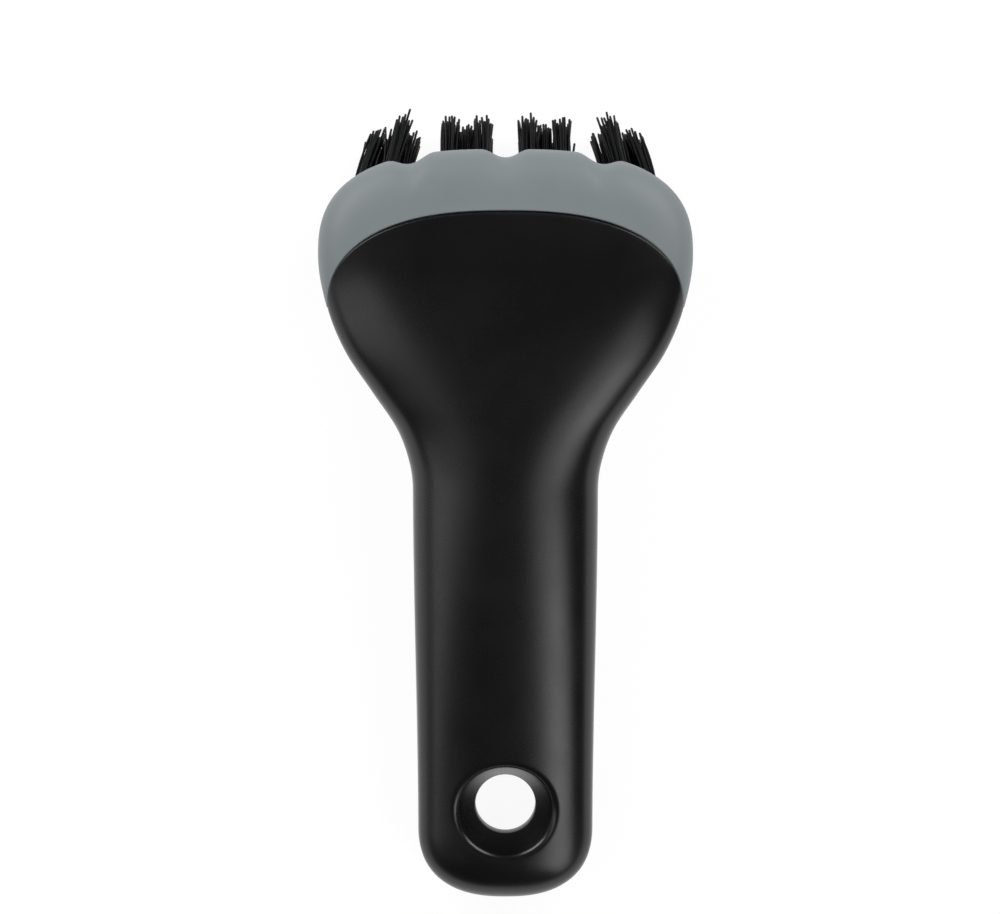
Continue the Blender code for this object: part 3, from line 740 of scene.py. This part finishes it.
def make_hole_cutter():
    bm = bmesh.new()
    profile = (
        (0.0, -TUFT_HOLE_DEPTH),
        (TUFT_HOLE_RADIUS, -TUFT_HOLE_DEPTH),
        (TUFT_HOLE_RADIUS, -CHAMFER),
        (TUFT_HOLE_RADIUS + CHAMFER, 0.0),
        (TUFT_HOLE_RADIUS + CHAMFER, CUTTER_REACH),
        (0.0, CUTTER_REACH),
    )
    for tuft_frame in tuft_frames():
        points = [bm.verts.new((radius, 0.0, height)) for radius, height in profile]
        edges = [bm.edges.new(pair) for pair in zip(points, points[1:])]
        before = set(bm.verts) - set(points)
        bmesh.ops.spin(
            bm, geom=points + edges, axis=(0, 0, 1), angle=2 * math.pi, steps=CUTTER_SIDES, use_merge=True
        )
        made = [v for v in bm.verts if v not in before]
        bmesh.ops.transform(bm, matrix=tuft_frame, verts=made)
    close_up(bm)
    return laid_object("hole_cutter", bm)


def cut(piece, cutter):
    """Cuts a piece with a Boolean, keeps the result as its mesh, and removes the cutter."""
    knife = piece.modifiers.new("holes", "BOOLEAN")
    knife.operation = "DIFFERENCE"
    knife.solver = "EXACT"
    knife.object = cutter
    bpy.context.view_layer.update()
    result = piece.evaluated_get(bpy.context.evaluated_depsgraph_get())
    mesh = bpy.data.meshes.new_from_object(result)
    piece.modifiers.clear()
    piece.data = mesh
    mesh.shade_smooth()
    mesh.set_sharp_from_angle(angle=math.radians(CREASE_ANGLE))
    bpy.data.objects.remove(cutter)


cut(head, make_hole_cutter())
report_piece(head)

# %% [markdown]
# ## The bristles
#
# Each tuft is a bundle of nylon filaments, 0.54 mm thick, folded into its hole. Hair particles would render
# well but leave no mesh to keep, so each filament is a slim closed tube of its own with a rounded tip. A
# sunflower spiral packs their roots evenly, and seeded random numbers splay and bend them, as use does. The
# outer clusters are cut slantwise, so that their outer filaments end nearer the lip.

# %% Build the tufts
FILAMENTS = 27
FILAMENT_SIDES = 6
FILAMENT_RADIUS = 0.27 * MM
ROOT_REACH = 1.42 * MM
SPLAY = 1.5
FOOT = -3.2 * MM
TIP_JITTER = 0.22 * MM
LENGTH_JITTER = 0.4 * MM
TIP_CLEARANCE = 0.3 * MM
CLEARANCE_TRIM = 1.3
OUTER_TRIM = 0.45
BEND = 0.15 * MM
STRAY_SHARE = 0.06
STRAY_REACH = 1.4 * MM
SEED = 11
THICKNESS = (0.0, 1.0, 1.0, 1.0, 1.0, 1.0, 1.0, 1.0, 0.82, 0.0)
HEIGHTS = (0.0, 0.0, 0.13, 0.3, 0.48, 0.66, 0.84, 0.994, 0.9985, 1.0)


def filament_place(root, tip, bow):
    """Where the vertices of one filament go, from its foot in the hole to its rounded tip."""

    def place(column, row):
        share = HEIGHTS[row]
        centre = root.lerp(tip, share) + bow * (4.0 * share * (1.0 - share))
        angle = 2.0 * math.pi * column / FILAMENT_SIDES
        reach = FILAMENT_RADIUS * THICKNESS[row]
        return centre + Vector((math.cos(angle) * reach, math.sin(angle) * reach, 0.0))

    return place


def jitter(rng, reach):
    return Vector((rng.gauss(0.0, reach), rng.gauss(0.0, reach), 0.0))


def make_tuft(name, tuft_frame, rng):
    """One tuft. Filaments that would come too near the table end a little earlier."""
    trim = -OUTER_TRIM * tuft_frame[0][2] / math.sin(OUTER_TOE_IN)
    bm = bmesh.new()
    for i in range(FILAMENTS):
        angle = i * math.pi * (3.0 - math.sqrt(5.0))
        spot = Vector((math.cos(angle), math.sin(angle), 0.0)) * math.sqrt((i + 0.5) / FILAMENTS)
        root = spot * ROOT_REACH + Vector((0.0, 0.0, FOOT))
        tip = spot * ROOT_REACH * SPLAY + jitter(rng, TIP_JITTER)
        if rng.random() < STRAY_SHARE:
            tip += spot * STRAY_REACH
        tip.z = BRISTLE_LENGTH + LENGTH_JITTER - abs(rng.gauss(0.0, 2.0 * LENGTH_JITTER)) - trim * tip.x
        tip.z -= CLEARANCE_TRIM * max(0.0, TIP_CLEARANCE - (lying @ tuft_frame @ tip).z)
        bend_grid(bm, FILAMENT_SIDES, len(HEIGHTS) - 1, filament_place(root, tip, jitter(rng, BEND)))
    close_up(bm)
    bmesh.ops.transform(bm, matrix=tuft_frame, verts=bm.verts)
    return laid_object(name, bm, crease=60.0)


rng = random.Random(SEED)
tufts = []
for number, tuft_frame in enumerate(tuft_frames(), start=1):
    tuft = make_tuft(f"bristles_{number:02d}", tuft_frame, rng)
    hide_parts(f"tuft_{number:02d}")
    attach(tuft, "root")
    tufts.append(tuft)
report_piece(tufts[0])

# %% [markdown]
# ## Writing shaders as sums
#
# A material's noise, masks and mixes are nodes joined by links, and a long list of links is hard to read. The
# two small classes below let them be written as Python expressions: a Socket stands for a node's output, and
# adding or multiplying sockets makes the Math nodes that do it.

# %% Sockets and boards
class Socket:
    """A node's output that can be used in sums."""

    def __init__(self, board, link):
        self.board = board
        self.link = link

    def math(self, operation, first, second):
        return self.board.node("ShaderNodeMath", {"operation": operation}, {0: first, 1: second})

    def __add__(self, other):
        return self.math("ADD", self, other)

    def __sub__(self, other):
        return self.math("SUBTRACT", self, other)

    def __mul__(self, other):
        return self.math("MULTIPLY", self, other)


class Board:
    """The node tree of one material or of the world."""

    def __init__(self, tree):
        self.tree = tree
        tree.nodes.clear()

    def node(self, kind, settings, values, output=0):
        made = self.tree.nodes.new(kind)
        for name, value in settings.items():
            setattr(made, name, value)
        for key, value in values.items():
            if isinstance(value, Socket):
                self.tree.links.new(value.link, made.inputs[key])
            else:
                made.inputs[key].default_value = value
        return Socket(self, made.outputs[output]) if made.outputs else None

    def place(self):
        return self.node("ShaderNodeTexCoord", {}, {}, "Object")

    def noise(self, size, detail=2.0, roughness=0.5):
        """Noise whose lumps are about this size."""
        values = {"Vector": self.place(), "Scale": 1.0 / size, "Detail": detail, "Roughness": roughness}
        return self.node("ShaderNodeTexNoise", {}, values)

    def mix(self, amount, first, second):
        """Blends two colours."""
        return self.node("ShaderNodeMix", {"data_type": "RGBA"}, {0: amount, 6: first, 7: second}, 2)

    def ranged(self, value, low, high, start, end):
        """Turns a value that runs from low to high into one that runs from start to end, and stops there."""
        values = {"Value": value, "From Min": low, "From Max": high, "To Min": start, "To Max": end}
        return self.node("ShaderNodeMapRange", {}, values)

    def bump(self, height, distance, strength):
        return self.node("ShaderNodeBump", {}, {"Height": height, "Distance": distance, "Strength": strength})


def finish_for(name, paint):
    """A material whose Principled BSDF takes the values that paint(board) returns."""
    made = bpy.data.materials.new(name)
    made.use_nodes = True
    board = Board(made.node_tree)
    shader = board.node("ShaderNodeBsdfPrincipled", {}, paint(board))
    board.node("ShaderNodeOutputMaterial", {}, {"Surface": shader})
    return made


def coat(piece, material):
    piece.data.materials.clear()
    piece.data.materials.append(material)


print("shader helpers are ready")

# %% [markdown]
# ## Finishes of the handle
#
# The grip is a soft-touch elastomer: nearly black, with a very fine matt grain from the mould that spreads
# highlights, and slightly uneven sheen where hands polish it. The core is harder and a little glossier.

# %% Soft elastomer and stiff plastic
def soft_elastomer(board):
    handled = board.noise(14.0 * MM, 3.0)
    grain = board.noise(0.22 * MM, 3.0, 0.6)
    return {
        "Base Color": board.mix(handled, (0.0026, 0.0027, 0.0030, 1.0), (0.0038, 0.0038, 0.0042, 1.0)),
        "Roughness": board.ranged(handled, 0.3, 0.7, 0.25, 0.30) + (grain - 0.5) * 0.05,
        "Normal": board.bump(grain, 0.02 * MM, 0.18),
    }


def stiff_plastic(board):
    flow = board.noise(9.0 * MM)
    return {
        "Base Color": board.mix(flow, (0.003, 0.003, 0.0034, 1.0), (0.0045, 0.0045, 0.005, 1.0)),
        "Roughness": board.ranged(flow, 0.3, 0.7, 0.30, 0.38),
        "Normal": board.bump(board.noise(0.5 * MM), 0.01 * MM, 0.3),
    }


coat(grip, finish_for("soft_elastomer_finish", soft_elastomer))
coat(core, finish_for("stiff_plastic_finish", stiff_plastic))
print("handle finished")

# %% [markdown]
# ## Finish of the head
#
# The head is moulded from a cool mid-grey nylon with a satin skin. Glass-filled nylon is never quite even:
# the melt leaves faint cloudy flow marks and a fine orange-peel ripple that only shows in highlights.

# %% Grey nylon
def grey_nylon(board):
    cloud = board.noise(11.0 * MM, 4.0, 0.6)
    peel = board.noise(0.7 * MM, 2.0)
    speck = board.noise(0.12 * MM, 1.0)
    return {
        "Base Color": board.mix(cloud, (0.216, 0.244, 0.252, 1.0), (0.238, 0.266, 0.274, 1.0)),
        "Roughness": board.ranged(cloud, 0.3, 0.7, 0.50, 0.58) + (speck - 0.5) * 0.06,
        "Normal": board.bump(peel + speck * 0.3, 0.015 * MM, 0.35),
    }


coat(head, finish_for("grey_nylon_finish", grey_nylon))
print("head finished")

# %% [markdown]
# ## Finish of the bristles and their anchors
#
# Black nylon filaments that stand close together shade each other, so they have very little sheen. Their cut
# tips scatter light and look paler. The tips are told from the roots by their distance from the face, which a
# Mapping node measures: it turns Object coordinates so that one axis runs out along the bristles. The anchors
# are flat brass wire.

# %% Filament and wire
PALE_TIP = (BRISTLE_LENGTH - 0.8 * MM, BRISTLE_LENGTH + 0.2 * MM)


def filament(board):
    face_point = lying @ Vector((0.0, LIP_Y, face_z(LIP_Y)))
    lean = tilt + math.pi + FACE_ANGLE
    values = {"Vector": board.place(), "Location": face_point, "Rotation": (lean, 0.0, 0.0)}
    turned = board.node("ShaderNodeMapping", {"vector_type": "TEXTURE"}, values)
    along = board.node("ShaderNodeSeparateXYZ", {}, {"Vector": turned}, "Z")
    tips = board.ranged(along, *PALE_TIP, 0.0, 1.0)
    streak = board.noise(0.9 * MM, 2.0)
    dark = board.mix(streak, (0.0008, 0.0010, 0.0013, 1.0), (0.0026, 0.0032, 0.0038, 1.0))
    return {
        "Base Color": board.mix(tips * 0.8, dark, (0.035, 0.040, 0.044, 1.0)),
        "Roughness": board.ranged(streak, 0.3, 0.7, 0.34, 0.44),
        "Specular IOR Level": 0.025,
    }


def brass_wire(board):
    drawn = board.noise(0.3 * MM, 2.0)
    return {
        "Base Color": board.mix(drawn, (0.55, 0.45, 0.27, 1.0), (0.66, 0.56, 0.36, 1.0)),
        "Metallic": 1.0,
        "Roughness": board.ranged(drawn, 0.3, 0.7, 0.25, 0.4),
    }


filament_finish = finish_for("filament_finish", filament)
for tuft in tufts:
    coat(tuft, filament_finish)
wire_finish = finish_for("brass_wire_finish", brass_wire)
for name, node in frame["nodes"].items():
    if name.startswith("tuft_anchor"):
        for slot in node.material_slots:
            slot.material = wire_finish
print("bristles and anchors finished")

# %% [markdown]
# ## The studio
#
# The brush lies on a white sheet. A floor that is only lit would have to be overlit to look white, and that
# would wash out the brush. Light Path tells the camera's rays from the others, so for the camera and for
# reflections most of the floor's white is its own, and only a little of it fades in the brush's shadow. The
# surroundings are white to the camera in the same way. In reflections they are white only low down, where
# such a sheet curves up behind the brush. Higher up the room is dim, which keeps the top of the grip black.

# %% Floor and surroundings
FLOOR_HALF_WIDTH = 3.0
FLOOR_DROP = 0.1 * MM
LOW_DOWN = (0.03, 0.12)


def background_rays(board, mirrored=1.0):
    """1 for rays from the camera, and this share for rays that come by way of gloss or glass."""
    names = ("Is Camera Ray", "Is Glossy Ray", "Is Transmission Ray")
    straight, glossy, through = [board.node("ShaderNodeLightPath", {}, {}, name) for name in names]
    return board.node("ShaderNodeClamp", {}, {"Value": straight + (glossy + through) * mirrored})


def make_floor():
    bm = bmesh.new()
    just_below = Matrix.Translation((0.0, 0.0, -FLOOR_DROP))
    bmesh.ops.create_grid(bm, x_segments=1, y_segments=1, size=FLOOR_HALF_WIDTH, matrix=just_below)
    mesh = bpy.data.meshes.new("white_sheet")
    bm.to_mesh(mesh)
    bm.free()
    floor = bpy.data.objects.new("white_sheet", mesh)
    bpy.context.scene.collection.objects.link(floor)
    paper = bpy.data.materials.new("paper")
    paper.use_nodes = True
    board = Board(paper.node_tree)
    matt = board.node("ShaderNodeBsdfDiffuse", {}, {"Color": (0.75, 0.75, 0.75, 1.0)})
    faint = board.node("ShaderNodeBsdfDiffuse", {}, {"Color": (0.12, 0.12, 0.12, 1.0)})
    glow = board.node("ShaderNodeEmission", {}, {"Strength": 0.93})
    lit = board.node("ShaderNodeAddShader", {}, {0: faint, 1: glow})
    seen = board.node("ShaderNodeMixShader", {}, {0: background_rays(board), 1: matt, 2: lit})
    board.node("ShaderNodeOutputMaterial", {}, {"Surface": seen})
    mesh.materials.append(paper)
    floor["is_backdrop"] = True


make_floor()
world = bpy.data.worlds.new("studio")
bpy.context.scene.world = world
world.use_nodes = True
board = Board(world.node_tree)
dim = board.node("ShaderNodeBackground", {}, {"Color": (0.95, 0.97, 1.0, 1.0), "Strength": 0.075})
white = board.node("ShaderNodeBackground", {}, {"Color": (1.0, 1.0, 1.0, 1.0), "Strength": 1.0})
direction = board.node("ShaderNodeTexCoord", {}, {}, "Generated")
upwards = board.node("ShaderNodeSeparateXYZ", {}, {"Vector": direction}, "Z")
low_down = board.ranged(upwards, *LOW_DOWN, 1.0, 0.0)
sky = board.node("ShaderNodeMixShader", {}, {0: background_rays(board, low_down), 1: dim, 2: white})
board.node("ShaderNodeOutputWorld", {}, {"Surface": sky})
print("floor and surroundings are ready")

# %% [markdown]
# ## Lamps
#
# Two bright boxes beyond the head stand low, so that light grazes the grey plastic and the lip glows. The
# black grip shows almost nothing but reflections: tall boxes behind the handle, one on the left and two on
# the right, draw its long highlights, and a faint low box lifts its left edge. A lamp's power in watts
# depends on its size, so the helper takes the brightness of its reflection, where 1 is white.

# %% Soft boxes
def soft_box(name, angle, height, distance, width, length, glow):
    """A lamp at an angle round the brush and above the table, facing it; angle 0 lies beyond the head."""
    lamp = bpy.data.lights.new(name, "AREA")
    lamp.shape = "RECTANGLE"
    lamp.size = width
    lamp.size_y = length
    lamp.energy = glow * math.pi * width * length
    box = bpy.data.objects.new(name, lamp)
    bpy.context.scene.collection.objects.link(box)
    round_it = math.radians(angle)
    above = math.radians(height)
    flat = distance * math.cos(above)
    box.location = (flat * math.sin(round_it), flat * math.cos(round_it), distance * math.sin(above))
    box.rotation_euler = (-Vector(box.location)).to_track_quat("-Z", "Y").to_euler()
    print(name, "gives", round(lamp.energy, 1), "W")


soft_box("beyond_left", -45.0, 30.0, 1.0, 0.6, 0.4, 6.5)
soft_box("beyond_right", 45.0, 35.0, 1.0, 0.6, 0.4, 6.3)
soft_box("highlight_left", -110.0, 50.0, 0.9, 0.32, 0.85, 1.4)
soft_box("edge_left", -90.0, 15.0, 0.9, 0.8, 0.3, 0.5)
soft_box("highlight_right", 132.0, 50.0, 0.9, 0.3, 0.6, 1.7)
soft_box("lower_highlight_right", 140.0, 36.0, 0.9, 0.3, 0.6, 1.9)

# %% [markdown]
# ## The camera
#
# The photograph was taken from straight above with a long lens, so the sides of the brush hardly splay. The
# camera looks down at the table, a little nearer the head than the middle of the brush.

# %% Camera
CAMERA_HEIGHT = 631.0 * MM
CAMERA_FROM_HANDLE_END = 98.4 * MM
CAMERA_X = -1.2 * MM

lens = bpy.data.cameras.new("camera")
lens.lens = 100.0
lens.sensor_width = 36.0
camera = bpy.data.objects.new("camera", lens)
bpy.context.scene.collection.objects.link(camera)
camera.location = (CAMERA_X, cad_box[0].y + CAMERA_FROM_HANDLE_END, CAMERA_HEIGHT)
bpy.context.scene.camera = camera
bpy.context.scene.view_settings.view_transform = "Standard"
print("camera at", [round(v / MM, 1) for v in camera.location], "mm")

# %% [markdown]
# ## Sizes compared
#
# The dressed brush has to fill the same box as the imported model, so both boxes are compared and their
# largest difference is printed.

# %% Compare both boxes and finish
dressed_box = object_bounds()
differences = [abs(a - b) for corners in zip(cad_box, dressed_box) for a, b in zip(*corners)]
print("boxes differ by at most", round(max(differences) / MM, 2), "mm")
